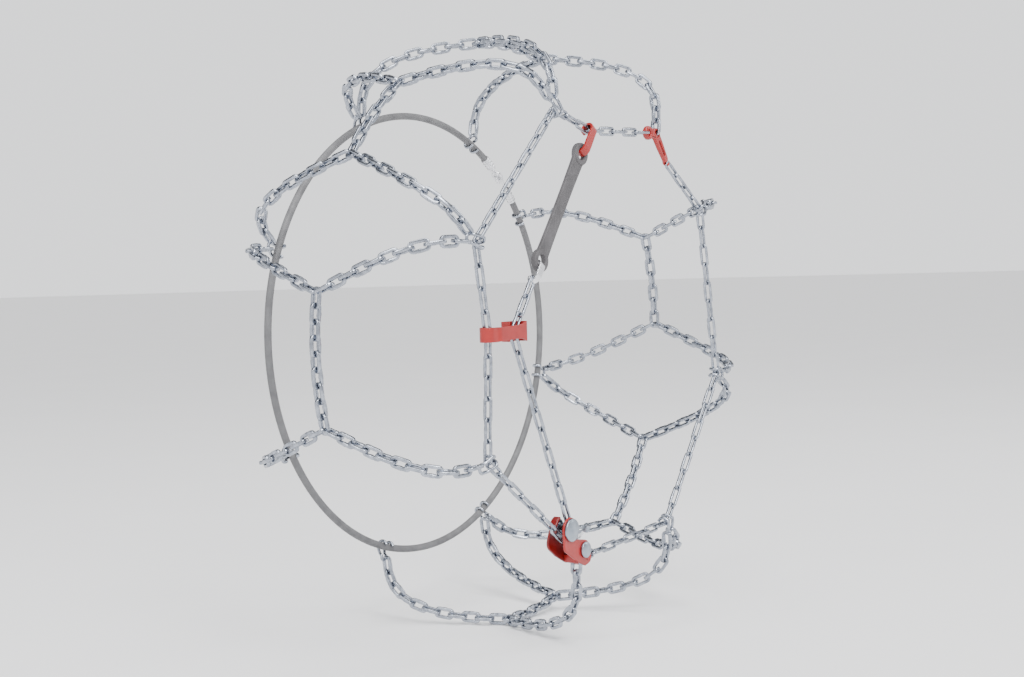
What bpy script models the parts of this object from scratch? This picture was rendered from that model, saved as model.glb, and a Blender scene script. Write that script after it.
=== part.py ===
"""Snow chain for a car wheel: the net of cross chains and centre chains, the outer side chain with its
tensioner, guide clip, rubber strap and closing hook, and the inner hoop cable.

The wheel's axle is Y, the outer wheel face looks along -Y, the tread's middle plane is y = 0, and +Z is up.
The origin is the wheel's centre. Angles run from +X towards +Z, seen from the outer face.
"""

from math import cos, pi, radians, sin

import bmesh
import bpy
import numpy as np
from mathutils import Matrix, Vector
from mathutils.geometry import convex_hull_2d

# The tyre that the chain is made for
TREAD_RADIUS = 0.316
TYRE_HALF_WIDTH = 0.123
WIDEST_RADIUS = 0.262
SHOULDER_POWER = 3.1

# Chains: each run is modelled as the round envelope of its links
TREAD_CHAIN_RADIUS = 0.0055
CHAIN_LIFT = 0.0063
SIDE_CHAIN_RADIUS = 0.0042
CABLE_RADIUS = 0.004
SIDE_LINK_PITCH = 0.022

# The net: places round the wheel where the cross chains meet the side chain
JUNCTION_RADIUS = 0.2515
FACE_HEIGHT = 0.130
JUNCTION_DEG = {
    "a": 157.1,
    "b": 207.8,
    "c": 253.5,
    "d": 297.6,
    "e": 346.0,
    "f": 392.4,
    "g": 422.3,
    "h": 470.8,
}
MODULES = ("ab", "cd", "de", "ef", "gh", "ha")
NODE_STEP_DEG = 12.9
HOOKED_OUTSIDE = "abdefh"
CABLE_GAP_DEG = 407.0
CABLE_HALF_GAP = 4.5
BRANCH_START = 0.0175
CENTRE_CHAIN_START = 0.0068

# The wheel-face hardware: places on the face are (x, z), heights are measured outwards from y = 0
STRAP_HOOK_AT = (-0.0245, 0.2153)
TENSION_BEND = (-0.1745, 0.0071)
GUIDE_CLIP_AT = (-0.2160, 0.0072)
STRAP_EYES = (0.0315, 0.1685)
STRAP_EYE_RADIUS = 0.012
STRAP_HALF_WIDTH = 0.0085
STRAP_HOLE = 0.0062
STRAP_THICKNESS = 0.0055
EYE_TO_CURL = 0.0078
WHEEL_AXIS = (-0.0916, -0.2014)
PAWL_AXIS = (-0.0662, -0.2256)
ANCHOR_AXIS = (-0.0600, -0.2350)
WHEEL_PITCH_RADIUS = 0.010
HIDDEN_CHAIN = 0.021
CLOSING_EYE = (0.1145, 0.2185)
CLOSING_LOBE = (0.0985, 0.2190)
CLOSING_TIP = (0.1385, 0.1863)
CLOSING_HOLE = 0.0036

GAP = 0.0003
PLATE = 0.0025
BACK_PLATE_HEIGHT = 0.11955
RATCHET_HEIGHT = 0.1225
FRONT_PLATE_HEIGHT = 0.1366
RIVET_SHAFT = 0.0026
RIVET_HOLE = RIVET_SHAFT + GAP

# Outlines on the wheel face: discs are (x, z, radius), corners are (x, z)
BACK_DISCS = [(*WHEEL_AXIS, 0.0115), (-0.1005, -0.2150, 0.0085), (-0.0905, -0.2235, 0.0075)]
BACK_DISCS += [(*PAWL_AXIS, 0.0100), (*ANCHOR_AXIS, 0.0062), (-0.0745, -0.2345, 0.0050)]
FRONT_UPPER = [(*WHEEL_AXIS, 0.0130), (-0.0975, -0.2185, 0.0060)]
FRONT_LOWER = [(-0.0975, -0.2185, 0.0060), (-0.0800, -0.2190, 0.0060), (*PAWL_AXIS, 0.0105)]
FRONT_LOWER += [(*ANCHOR_AXIS, 0.0062), (-0.0790, -0.2350, 0.0018), (-0.0650, -0.2410, 0.0018)]
FRONT_MIDDLE = (-0.0960, -0.2170)
FOOT_CORNERS = [(-0.0805, -0.2300), (-0.0655, -0.2340), (-0.0650, -0.2425), (-0.0808, -0.2375)]
FOOT_TOP = FRONT_PLATE_HEIGHT - PLATE / 2 - GAP
FOOT_SLIT = [(-0.0738, -0.2280), (-0.0690, -0.2280), (-0.0690, -0.2460), (-0.0738, -0.2460)]
FOOT_PIN = ((-0.0760, -0.2368), (-0.0665, -0.2368))

COLOURS = {
    "zinc_steel": ((0.62, 0.64, 0.67), 0.3, 1.0),
    "bright_steel": ((0.8, 0.8, 0.82), 0.2, 1.0),
    "red_front": ((0.55, 0.05, 0.04), 0.4, 0.0),
    "red_back": ((0.3, 0.015, 0.012), 0.45, 0.0),
    "grey_rivet": ((0.45, 0.47, 0.5), 0.35, 0.8),
    "strap_rubber": ((0.09, 0.09, 0.095), 0.7, 0.0),
    "cable_sleeve": ((0.12, 0.12, 0.125), 0.5, 0.0),
}


def fresh_scene():
    """Clear the scene and make the part's collections."""
    for old in list(bpy.data.objects):
        bpy.data.objects.remove(old)
    parts = bpy.data.collections.new("snow_chain")
    cutters = bpy.data.collections.new("cutters")
    for collection in (parts, cutters):
        bpy.context.scene.collection.children.link(collection)
    return parts, cutters


PARTS, CUTTERS = fresh_scene()


def material(name):
    """The Principled material of this name, made once."""
    if name in bpy.data.materials:
        return bpy.data.materials[name]
    colour, roughness, metallic = COLOURS[name]
    made = bpy.data.materials.new(name)
    made.use_nodes = True
    shader = made.node_tree.nodes["Principled BSDF"]
    shader.inputs["Base Color"].default_value = (*colour, 1)
    shader.inputs["Roughness"].default_value = roughness
    shader.inputs["Metallic"].default_value = metallic
    return made


def add(name, data, colour, collection=PARTS):
    """Link a new object, with its material unless it is a cutter."""
    obj = bpy.data.objects.new(name, data)
    collection.objects.link(obj)
    if colour:
        data.materials.append(material(colour))
    return obj


# ---------------------------------------------------------------- points and directions


def polar(radius, degrees, height=FACE_HEIGHT):
    """A point on the wheel face: height is measured outwards, along -Y."""
    turn = radians(degrees)
    return Vector((radius * cos(turn), -height, radius * sin(turn)))


def face(place, height=FACE_HEIGHT):
    """The same for a place given as (x, z)."""
    return Vector((place[0], -height, place[1]))


def junction(letter, side=-1):
    """Where a cross chain meets the side chain (side -1) or the hoop cable (side 1)."""
    return polar(JUNCTION_RADIUS, JUNCTION_DEG[letter], -side * FACE_HEIGHT)


def tangent(axis, start, radius, left):
    """The point on a circle round axis that a line from start touches, on its left or right hand."""
    ahead = Vector((axis[0] - start[0], axis[1] - start[1]))
    turn = np.arcsin(radius / ahead.length) * (1 if left else -1)
    reach = (ahead.length**2 - radius**2) ** 0.5
    heading = np.arctan2(ahead.y, ahead.x) + turn
    return start[0] + reach * cos(heading), start[1] + reach * sin(heading)


# ---------------------------------------------------------------- shapes


def wire(name, points, radius, colour, resolution=2, origin=Vector((0, 0, 0)), collection=PARTS):
    """A round rod along straight stretches between the points, whose object has the origin asked for."""
    curve = bpy.data.curves.new(name, "CURVE")
    curve.dimensions = "3D"
    curve.bevel_depth = radius
    curve.bevel_resolution = resolution
    curve.use_fill_caps = True
    spline = curve.splines.new("POLY")
    spline.points.add(len(points) - 1)
    for slot, point in zip(spline.points, points):
        slot.co = (*(point - origin), 1)
    spline.use_smooth = True
    obj = add(name, curve, colour, collection)
    obj.location = origin
    return obj


def flat_curve(name, outlines):
    """A filled 2D curve: the first outline is the edge and the others are holes."""
    curve = bpy.data.curves.new(name, "CURVE")
    curve.dimensions = "2D"
    curve.fill_mode = "BOTH"
    for outline in outlines:
        spline = curve.splines.new("POLY")
        spline.points.add(len(outline) - 1)
        for slot, point in zip(spline.points, outline):
            slot.co = (point[0], point[1], 0, 1)
        spline.use_cyclic_u = True
    return curve


def circle(centre, radius, count=20):
    """The corners of a regular polygon that stands for a circle."""
    steps = [2 * pi * k / count for k in range(count)]
    return [(centre[0] + radius * cos(t), centre[1] + radius * sin(t)) for t in steps]


def hull(discs):
    """The outline that a string drawn tight round some discs, each (x, z, radius), would take."""
    corners = [point for x, z, radius in discs for point in circle((x, z), radius)]
    return [corners[index] for index in convex_hull_2d([Vector(c) for c in corners])]


def joined(centre, hulls, count=72):
    """The outline of overlapping convex outlines that all hold the centre."""
    outline = []
    for step in range(count):
        turn = 2 * pi * step / count
        ahead = Vector((cos(turn), sin(turn)))
        reach = max(reach_inside(centre, ahead, corners) for corners in hulls)
        outline.append((centre[0] + ahead.x * reach, centre[1] + ahead.y * reach))
    return outline


def reach_inside(centre, ahead, corners):
    """How far a ray from the centre runs before it leaves a convex outline."""
    slack = 0.001
    for one, two in zip(corners, corners[1:] + corners[:1]):
        one = Vector(one) - Vector(centre)
        along = Vector(two) - Vector(centre) - one
        slant = ahead.x * along.y - ahead.y * along.x
        if slant == 0:
            continue
        distance = (one.x * along.y - one.y * along.x) / slant
        share = (one.x * ahead.y - one.y * ahead.x) / slant
        if distance > 0 and -slack <= share <= 1 + slack:
            return distance
    return 0


def put_on_face(obj, height, place=(0, 0), turn=0):
    """Lay a flat piece on the wheel face: its own Z looks outwards."""
    obj.location = face(place, height)
    obj.rotation_euler = (pi / 2, -turn, 0)
    return obj


def plate(name, outlines, height, thickness, colour, place=(0, 0), turn=0, collection=PARTS):
    """A flat plate on the wheel face, centred on its height."""
    curve = flat_curve(name, outlines)
    curve.extrude = thickness / 2
    return put_on_face(add(name, curve, colour, collection), height, place, turn)


def turned(name, profile, place, colour, collection=PARTS, steps=20):
    """A turned piece whose axis is the face's normal: the profile is (radius, height), outer end first."""
    mesh = bpy.data.meshes.new(name)
    work = bmesh.new()
    corners = [work.verts.new((radius, 0, height)) for radius, height in profile]
    for one, two in zip(corners, corners[1:]):
        work.edges.new((one, two))
    work.to_mesh(mesh)
    work.free()
    obj = put_on_face(add(name, mesh, colour, collection), 0, place)
    screw = obj.modifiers.new("turn", "SCREW")
    screw.steps = screw.render_steps = steps
    screw.use_merge_vertices = True
    screw.merge_threshold = 0.00001
    return obj


def strip(name, points, width, thickness, colour):
    """A bent flat strip: a path across (x, y), which Solidify thickens and the width runs along Z."""
    curve = bpy.data.curves.new(name, "CURVE")
    curve.dimensions = "2D"
    curve.fill_mode = "NONE"
    curve.extrude = width / 2
    spline = curve.splines.new("POLY")
    spline.points.add(len(points) - 1)
    for slot, point in zip(spline.points, points):
        slot.co = (point[0], point[1], 0, 1)
    obj = add(name, curve, colour)
    solid = obj.modifiers.new("thickness", "SOLIDIFY")
    solid.thickness = thickness
    solid.offset = 0
    solid.use_even_offset = True
    return obj


def arc(centre, radius, start_deg, end_deg, count):
    """Points along an arc, both ends included."""
    steps = [radians(start_deg + (end_deg - start_deg) * k / count) for k in range(count + 1)]
    return [(centre[0] + radius * cos(t), centre[1] + radius * sin(t)) for t in steps]


def to_mesh(obj):
    """Turn a curve object into a mesh object, with its caps welded on."""
    graph = bpy.context.evaluated_depsgraph_get()
    graph.update()
    name = obj.name
    mesh = bpy.data.meshes.new_from_object(obj.evaluated_get(graph))
    work = bmesh.new()
    work.from_mesh(mesh)
    bmesh.ops.remove_doubles(work, verts=work.verts, dist=0.00001)
    work.to_mesh(mesh)
    work.free()
    place = obj.matrix_world.copy()
    home = obj.users_collection[0]
    bpy.data.objects.remove(obj)
    new = bpy.data.objects.new(name, mesh)
    home.objects.link(new)
    new.matrix_world = place
    return new


def boolean(obj, other, operation):
    """Join a helper to a piece, or cut it from the piece."""
    other.hide_render = True
    other.display_type = "WIRE"
    step = obj.modifiers.new(operation.lower(), "BOOLEAN")
    step.operation = operation
    step.object = other


# ---------------------------------------------------------------- the net


def section():
    """Half the tyre's cross-section, as the chain's middle follows it: arc length, y and radius.

    The tread and shoulder are a superellipse, and the sidewall below the widest place is straight.
    """
    turns = np.linspace(0, pi / 2, 120)
    y = (TYRE_HALF_WIDTH + CHAIN_LIFT) * np.sin(turns) ** (2 / SHOULDER_POWER)
    rise = TREAD_RADIUS + CHAIN_LIFT - WIDEST_RADIUS
    radius = WIDEST_RADIUS + rise * np.cos(turns) ** (2 / SHOULDER_POWER)
    y = np.append(y, FACE_HEIGHT)
    radius = np.append(radius, JUNCTION_RADIUS)
    length = np.concatenate([[0], np.cumsum(np.hypot(np.diff(y), np.diff(radius)))])
    return length, y, radius


SECTION = section()


def on_tyre(length, degrees, side):
    """The chain's middle at an arc length from the tread's middle, at an angle round the wheel."""
    lengths, y, radius = SECTION
    across = float(np.interp(length, lengths, y))
    out = float(np.interp(length, lengths, radius))
    return polar(out, degrees, -side * across)


def branch(node_deg, junction_deg, side, count=10):
    """The points of half a cross chain, from the tread's middle to its hook."""
    whole = SECTION[0][-1]
    stop = whole - BRANCH_START
    lengths = np.linspace(0, stop, count)
    return [on_tyre(s, node_deg + (junction_deg - node_deg) * s / whole, side) for s in lengths]


def cross_chain(index, letter, node_deg):
    """One cross chain: outer hook, node at the tread's middle, inner hook."""
    outer = branch(node_deg, JUNCTION_DEG[letter], -1)
    inner = branch(node_deg, JUNCTION_DEG[letter], 1)
    wire(f"cross_chain_{index:02d}", outer[::-1] + inner[1:], TREAD_CHAIN_RADIUS, "zinc_steel")


def centre_chain(index, start_deg, end_deg, count=5):
    """The run along the tread's middle that ties two nodes."""
    step = CENTRE_CHAIN_START / (TREAD_RADIUS + CHAIN_LIFT) * 180 / pi
    angles = np.linspace(start_deg + step, end_deg - step, count)
    wire(f"centre_chain_{index}", [on_tyre(0, a, 1) for a in angles], TREAD_CHAIN_RADIUS, "zinc_steel")


def net():
    """Six modules, each of a centre chain and the two cross chains at its ends."""
    for index, (first, last) in enumerate(MODULES):
        start = JUNCTION_DEG[first]
        end = JUNCTION_DEG[last]
        end += 360 if end < start else 0
        centre_chain(index + 1, start + NODE_STEP_DEG, end - NODE_STEP_DEG)
        cross_chain(2 * index + 1, first, start + NODE_STEP_DEG)
        node_deg = end - NODE_STEP_DEG - (end - JUNCTION_DEG[last])
        cross_chain(2 * index + 2, last, node_deg)


def junction_hook(name, centre, one, two, out, rod_radius):
    """A doubled wire hook: two prongs wrap the rod beside the junction, and a loop holds the links.

    one and two are the rod's directions away from the junction, and out looks away from the tyre.
    """
    wire_radius = 0.0016
    wrap = rod_radius + wire_radius + 0.0004
    prong_at = 0.006
    loop_at = 0.0105
    loop_radius = 0.0044
    radial = Vector((centre.x, 0, centre.z)).normalized()
    across = out.cross(radial)
    points = []
    for along, hand in ((one, 1), (two, -1)):
        up = out.cross(along).normalized()
        up = up if up.dot(radial) > 0 else -up
        middle = centre + along * prong_at
        bend = [radians(d) for d in (235, 205, 175, 145, 115, 85)]
        prong = [middle + up * wrap * cos(t) + out * wrap * sin(t) for t in bend]
        hand *= 1 if across.dot(one) > 0 else -1
        prong.append(centre + radial * 0.0075 + across * hand * loop_radius + out * 0.0034)
        points.append((prong, hand))
    loop = [
        centre + radial * (loop_at + loop_radius * sin(t)) + across * points[0][1] * loop_radius * cos(t)
        for t in (0, pi / 4, pi / 2, 3 * pi / 4, pi)
    ]
    wire(name, points[0][0] + loop + points[1][0][::-1], wire_radius, "zinc_steel", resolution=1)


def side_chain_path():
    """The corners of the outer side chain, by name, in the order that the chain takes."""
    start = junction("b")
    wheel = tangent(WHEEL_AXIS, (start.x, start.z), WHEEL_PITCH_RADIUS, left=False)
    return {
        "lobe": face(CLOSING_LOBE),
        "strap": face(STRAP_HOOK_AT),
        "h": junction("h"),
        "a": junction("a"),
        "clip": face(GUIDE_CLIP_AT),
        "b": start,
        "wheel": face(wheel),
        "anchor": face(ANCHOR_AXIS),
        "d": junction("d"),
        "e": junction("e"),
        "f": junction("f"),
        "tip": face(CLOSING_TIP),
    }


def side_chain(corners):
    """Nine spans of the side chain and the six outer junction hooks."""
    order = list(corners)
    corner_cut = 0.0024
    cuts = {"lobe": 0.0092, "strap": 0.0085, "wheel": 0.0, "anchor": 0.0062, "tip": 0.0098}
    spans = (("lobe", "strap"), ("strap", "h"), ("h", "a"), ("a", "clip", "b"), ("b", "wheel"))
    spans += (("anchor", "d"), ("d", "e"), ("e", "f"), ("f", "tip"))
    for index, names in enumerate(spans):
        points = [corners[n] for n in names]
        first = (points[1] - points[0]).normalized()
        last = (points[-1] - points[-2]).normalized()
        points[0] = points[0] + first * cuts.get(names[0], corner_cut)
        points[-1] = points[-1] - last * cuts.get(names[-1], corner_cut)
        wire(f"side_chain_{index + 1}", points, SIDE_CHAIN_RADIUS, "zinc_steel")
    for letter in HOOKED_OUTSIDE:
        here = order.index(letter)
        centre = corners[letter]
        one = (corners[order[here - 1]] - centre).normalized()
        two = (corners[order[here + 1]] - centre).normalized()
        junction_hook(f"outer_hook_{letter}", centre, one, two, Vector((0, -1, 0)), SIDE_CHAIN_RADIUS)


def hoop_cable():
    """The sleeved inner cable, open at its fittings, with its eight hooks."""
    angles = np.linspace(CABLE_GAP_DEG + CABLE_HALF_GAP, CABLE_GAP_DEG + 360 - CABLE_HALF_GAP, 60)
    points = [polar(JUNCTION_RADIUS, a, -FACE_HEIGHT) for a in angles]
    wire("hoop_cable", points, CABLE_RADIUS, "cable_sleeve", resolution=1)
    for letter in JUNCTION_DEG:
        centre = junction(letter, 1)
        along = Vector((-centre.z, 0, centre.x)).normalized()
        junction_hook(f"inner_hook_{letter}", centre, along, -along, Vector((0, 1, 0)), CABLE_RADIUS)


def hoop_fittings():
    """The hook and the eye at the cable's ends, hooked into each other."""
    rod = 0.002
    middle = polar(JUNCTION_RADIUS, CABLE_GAP_DEG, -FACE_HEIGHT)
    along = Vector((-middle.z, 0, middle.x)).normalized()
    radial = Vector((middle.x, 0, middle.z)).normalized()
    out = Vector((0, 1, 0))
    reach = JUNCTION_RADIUS * sin(radians(CABLE_HALF_GAP)) - 0.001
    sag = JUNCTION_RADIUS * (1 - cos(radians(CABLE_HALF_GAP)))
    ring = arc((0.005, 0), 0.0055, 20, 350, 12)
    eye = [middle + along * reach - radial * sag] + [middle + along * x + out * y for x, y in ring]
    wire("hoop_eye", eye, rod, "bright_steel", resolution=1)
    bend = arc((-0.0005, 0), 0.005, 150, -120, 9)
    hook = [middle - along * reach - radial * sag] + [middle + along * x + radial * y for x, y in bend]
    wire("hoop_hook", hook, rod, "bright_steel", resolution=1)


# ---------------------------------------------------------------- the tension line


def dogbone(length, first_radius, second_radius, half_width, count=12):
    """The outline of two discs on a common axis, joined by a band."""
    one = np.degrees(np.arcsin(half_width / first_radius))
    two = np.degrees(np.arcsin(half_width / second_radius))
    left = arc((0, 0), first_radius, one, 360 - one, count)
    return left + arc((length, 0), second_radius, -180 + two, 180 - two, count)


def aligned(obj, origin, along, outward):
    """Place an object so that its X looks along one direction and its Y looks outwards."""
    third = along.cross(outward)
    rows = [[along[k], outward[k], third[k], origin[k]] for k in range(3)]
    obj.matrix_world = Matrix(rows + [[0, 0, 0, 1]])
    return obj


OUT = Vector((0, -1, 0))
STRAP_TOP = face(STRAP_HOOK_AT)
BEND = face(TENSION_BEND)
UPPER = (BEND - STRAP_TOP).normalized()
UPPER_LENGTH = (BEND - STRAP_TOP).length
CHAIN_CUT = 0.0027
WHEEL_TANGENT = face(tangent(WHEEL_AXIS, TENSION_BEND, WHEEL_PITCH_RADIUS, left=True))
LOWER = (WHEEL_TANGENT - BEND).normalized()
HOOK_BAR = UPPER_LENGTH - 3 * SIDE_LINK_PITCH


def strap_hook():
    """The red hook: its jaw holds the side chain, and its lower end goes through the strap's upper eye."""
    reach = 0.0062
    rim = STRAP_EYES[0] - EYE_TO_CURL
    path = arc((0, 0), reach, 290, 90, 9) + arc((rim, 0), reach, 90, -110, 9)
    aligned(strip("strap_hook", path, 0.0095, 0.0028, "red_front"), STRAP_TOP, UPPER, OUT)


def rubber_strap():
    """The flat rubber strap, with an eye at each end."""
    length = STRAP_EYES[1] - STRAP_EYES[0]
    outline = dogbone(length, STRAP_EYE_RADIUS, STRAP_EYE_RADIUS, STRAP_HALF_WIDTH)
    outlines = [outline, circle((0, 0), STRAP_HOLE, 14), circle((length, 0), STRAP_HOLE, 14)]
    start = STRAP_TOP + UPPER * STRAP_EYES[0]
    turn = np.arctan2(UPPER.z, UPPER.x)
    plate("rubber_strap", outlines, FACE_HEIGHT, STRAP_THICKNESS, "strap_rubber", (start.x, start.z), turn)


def tension_hook():
    """The bright hook between the strap's lower eye and the tension chain."""
    reach = 0.0054
    rim = STRAP_EYES[1] + EYE_TO_CURL
    path = arc((rim, 0), reach, 250, 90, 8) + arc((HOOK_BAR, 0), reach, 90, -100, 8)
    aligned(strip("tension_hook", path, 0.0078, 0.0022, "bright_steel"), STRAP_TOP, UPPER, OUT)


def tension_chain():
    """The chain from the hook to the wheel: a run, the one link at the guide clip's bend, and a run."""
    start = STRAP_TOP + UPPER * (HOOK_BAR + 0.0072)
    wire("tension_chain_upper", [start, BEND - UPPER * CHAIN_CUT], SIDE_CHAIN_RADIUS, "zinc_steel")
    link_end = BEND + LOWER * SIDE_LINK_PITCH
    half_angle = UPPER.angle(LOWER) / 2
    bisector = (LOWER - UPPER).normalized()
    pivot = BEND + bisector * (SIDE_LINK_PITCH / 2) / sin(half_angle)
    wire(
        "tension_link",
        [BEND + LOWER * CHAIN_CUT, link_end - LOWER * CHAIN_CUT],
        SIDE_CHAIN_RADIUS,
        "zinc_steel",
        origin=pivot,
    )
    hidden_end = WHEEL_TANGENT + LOWER * HIDDEN_CHAIN
    wire("tension_chain_lower", [link_end + LOWER * CHAIN_CUT, hidden_end], SIDE_CHAIN_RADIUS, "zinc_steel")


def guide_clip():
    """A folded strip: one loop round the side chain, and one that the tension chain runs through."""
    loop = 0.0073
    front = 0.0088
    bend = BEND.x - GUIDE_CLIP_AT[0]
    path = arc((0, 0), loop, 315, 90, 10)
    path += [(0.006, loop), (0.0095, front), (bend + 0.0105, front), (bend + 0.0135, front - 0.003)]
    path += [(bend + 0.0135, 0.003 - loop), (bend + 0.0105, -loop), (bend - 0.0065, -loop)]
    path += [(bend - 0.0095, 0.003 - loop), (bend - 0.0095, 0.0035)]
    clip = strip("guide_clip", path, 0.015, 0.0018, "red_front")
    aligned(clip, face(GUIDE_CLIP_AT), Vector((1, 0, 0)), OUT)


# ---------------------------------------------------------------- the tensioner


def back_plate():
    """The dark red plate behind the chain, with the block at its foot that carries a cross chain."""
    holes = [circle(place, RIVET_HOLE) for place in (WHEEL_AXIS, PAWL_AXIS, ANCHOR_AXIS)]
    outlines = [hull(BACK_DISCS), *holes]
    base = to_mesh(plate("tensioner_back_plate", outlines, BACK_PLATE_HEIGHT, PLATE, "red_back"))
    low = BACK_PLATE_HEIGHT - PLATE / 2 + 0.0004
    slit_low = BACK_PLATE_HEIGHT + PLATE / 2 + 0.0010
    slit_high = FOOT_TOP + PLATE
    middle = (low + FOOT_TOP) / 2
    block = plate("foot_block", [FOOT_CORNERS], middle, FOOT_TOP - low, None, collection=CUTTERS)
    slit = plate(
        "foot_slit",
        [FOOT_SLIT],
        (slit_low + slit_high) / 2,
        slit_high - slit_low,
        None,
        collection=CUTTERS,
    )
    pin = wire("foot_pin", [face(place) for place in FOOT_PIN], 0.0015, None, collection=CUTTERS)
    boolean(base, to_mesh(block), "UNION")
    boolean(base, to_mesh(slit), "DIFFERENCE")
    boolean(base, to_mesh(pin), "UNION")


def front_plate():
    """The lighter red plate in front of the chain, down to the foot."""
    holes = [circle(place, RIVET_HOLE) for place in (WHEEL_AXIS, PAWL_AXIS, ANCHOR_AXIS)]
    outline = joined(FRONT_MIDDLE, [hull(FRONT_UPPER), hull(FRONT_LOWER)])
    plate("tensioner_front_plate", [outline, *holes], FRONT_PLATE_HEIGHT, PLATE, "red_front")


def chain_wheel():
    """The grooved wheel that the chain turns round, with its ratchet ring at the back."""
    teeth = 10
    tip = 0.0106
    root = 0.0093
    bore = RIVET_SHAFT + GAP
    groove = WHEEL_PITCH_RADIUS - SIDE_CHAIN_RADIUS - GAP
    rim_back = RATCHET_HEIGHT + PLATE / 2
    rim_front = FRONT_PLATE_HEIGHT - PLATE / 2 - GAP
    profile = [(bore, rim_front), (tip, rim_front), (tip, rim_front - 0.0006), (groove, rim_front - 0.0016)]
    profile += [(groove, rim_back - 0.0002), (bore, rim_back - 0.0002), (bore, rim_front)]
    wheel = to_mesh(turned("tension_wheel", profile, WHEEL_AXIS, "zinc_steel"))
    outline = []
    for tooth in range(teeth):
        start = 2 * pi * tooth / teeth
        for radius, share in ((root, 0.0), (tip, 0.75), (tip, 0.95)):
            angle = start + 2 * pi * share / teeth
            outline.append((radius * cos(angle), radius * sin(angle)))
    hole = circle((0, 0), bore)
    outlines = [outline, hole]
    ring = plate("ratchet_ring", outlines, RATCHET_HEIGHT, PLATE, None, WHEEL_AXIS, collection=CUTTERS)
    boolean(wheel, to_mesh(ring), "UNION")


def rivet(name, place, head_radius, dome):
    """A rivet with a domed front head and a small rear head, outer end first."""
    front = FRONT_PLATE_HEIGHT + PLATE / 2 + GAP
    rear = BACK_PLATE_HEIGHT - PLATE / 2 - GAP
    profile = [(0, front + dome)]
    for turn in (0.5, 0.9, 1.3, pi / 2):
        profile.append((head_radius * sin(turn), front + dome * (0.35 + 0.65 * cos(turn))))
    profile += [(head_radius, front), (RIVET_SHAFT, front), (RIVET_SHAFT, rear)]
    profile += [(RIVET_SHAFT + 0.002, rear), (RIVET_SHAFT + 0.0012, rear - 0.0015), (0, rear - 0.0015)]
    turned(name, profile, place, "grey_rivet")


def locking_pawl():
    """The pawl: its nose meets the ratchet ring, and its stem with a cap is the release lever."""
    nose_reach = 0.0217
    away = Vector((WHEEL_AXIS[0] - PAWL_AXIS[0], WHEEL_AXIS[1] - PAWL_AXIS[1])).normalized()
    lever = (0.0118, 0.0078)
    body = plate(
        "locking_pawl",
        [dogbone(nose_reach, 0.0058, 0.0024, 0.0023), circle((0, 0), RIVET_HOLE)],
        RATCHET_HEIGHT,
        PLATE - 2 * GAP,
        "bright_steel",
        PAWL_AXIS,
        np.arctan2(away.y, away.x),
    )
    body = to_mesh(body)
    arm_outline = [(0.0035, 0), (0.0035, -0.0045)] + arc(lever, 0.0026, -60, 90, 5) + [(0.0015, 0.0048)]
    arm_thickness = PLATE - 2.5 * GAP
    height = RATCHET_HEIGHT
    arm = plate("lever_arm", [arm_outline], height, arm_thickness, None, PAWL_AXIS, collection=CUTTERS)
    foot = face((PAWL_AXIS[0] + lever[0], PAWL_AXIS[1] + lever[1]), RATCHET_HEIGHT + 0.0002)
    top = face((PAWL_AXIS[0] + 0.0125, PAWL_AXIS[1] + 0.0180), FACE_HEIGHT)
    up = (top - foot).normalized()
    stem = wire("lever_stem", [foot, foot + Vector((0, 0, 0.002)), top], 0.0017, None, collection=CUTTERS)
    cap_ends = [top - up * 0.0005, top + up * 0.0078]
    cap = wire("lever_cap", cap_ends, 0.0034, None, collection=CUTTERS, resolution=4)
    for helper in (arm, stem, cap):
        boolean(body, to_mesh(helper), "UNION")


def pawl_spring():
    """The torsion spring round the pawl's rivet."""
    turns = 3
    rod = 0.0005
    height = RATCHET_HEIGHT + PLATE / 2 + 0.0010
    steps = 12
    points = []
    for step in range(turns * steps + 1):
        angle = 2 * pi * step / steps
        place = (PAWL_AXIS[0] + 0.0042 * cos(angle), PAWL_AXIS[1] + 0.0042 * sin(angle))
        points.append(face(place, height + 0.0013 * step / steps))
    points.append(points[-1] + Vector((0.0005, 0, -0.0055)))
    wire("pawl_spring", points, rod, "bright_steel", resolution=1)


def anchor_pin():
    """The pin that the right-hand side chain's last link hangs on."""
    front = FRONT_PLATE_HEIGHT + PLATE / 2
    rear = BACK_PLATE_HEIGHT - PLATE / 2
    profile = [(0, front), (RIVET_SHAFT, front)]
    profile += [(RIVET_SHAFT, rear - GAP), (0.0040, rear - GAP)]
    profile += [(0.0040, rear - 0.0012), (0, rear - 0.0012)]
    turned("anchor_pin", profile, ANCHOR_AXIS, "red_front")


# ---------------------------------------------------------------- the closing hook


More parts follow.
